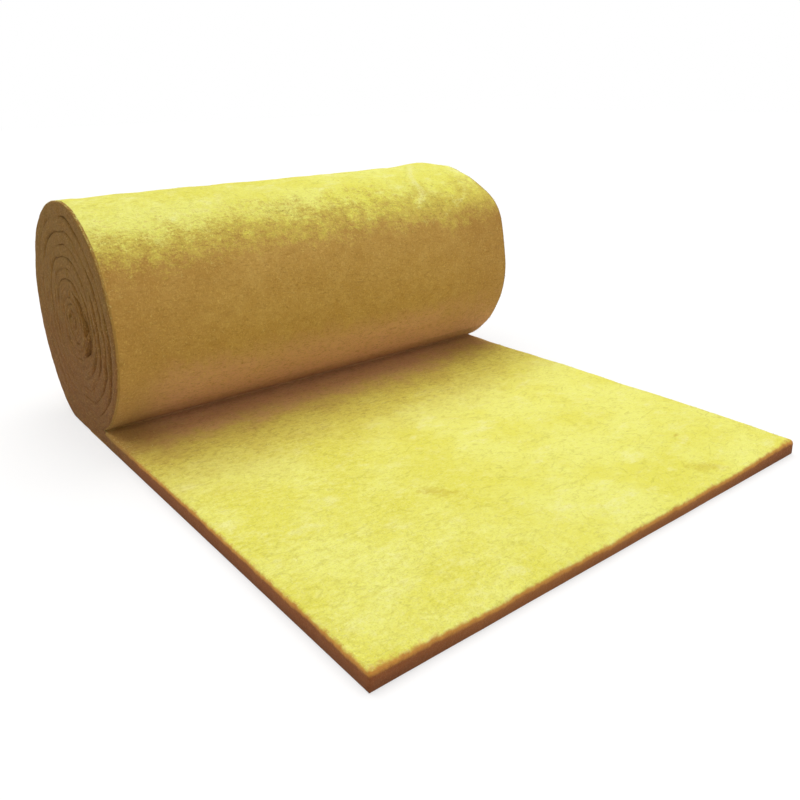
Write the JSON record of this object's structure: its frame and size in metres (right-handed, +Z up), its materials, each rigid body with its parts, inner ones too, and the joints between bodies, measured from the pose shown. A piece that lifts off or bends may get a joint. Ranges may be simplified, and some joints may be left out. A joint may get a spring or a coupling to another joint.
{
  "type": "insulation roll",
  "caption": "Roll of glass wool insulation blanket lying on its side, with its free end laid out flat on the floor in front.",
  "frame": {"origin": "on the floor at the middle of the footprint of the roll and the laid blanket", "axes": "+X across the blanket, along the roll's axis; +Y from the cut end towards the roll; +Z up"},
  "size_m": [1.2, 1.504, 0.581],
  "materials": {
    "glass_wool": "matte, fibrous felt"
  },
  "bodies": {
    "root": {"glass_wool_blanket": "glass_wool"}
  },
  "joints": []
}
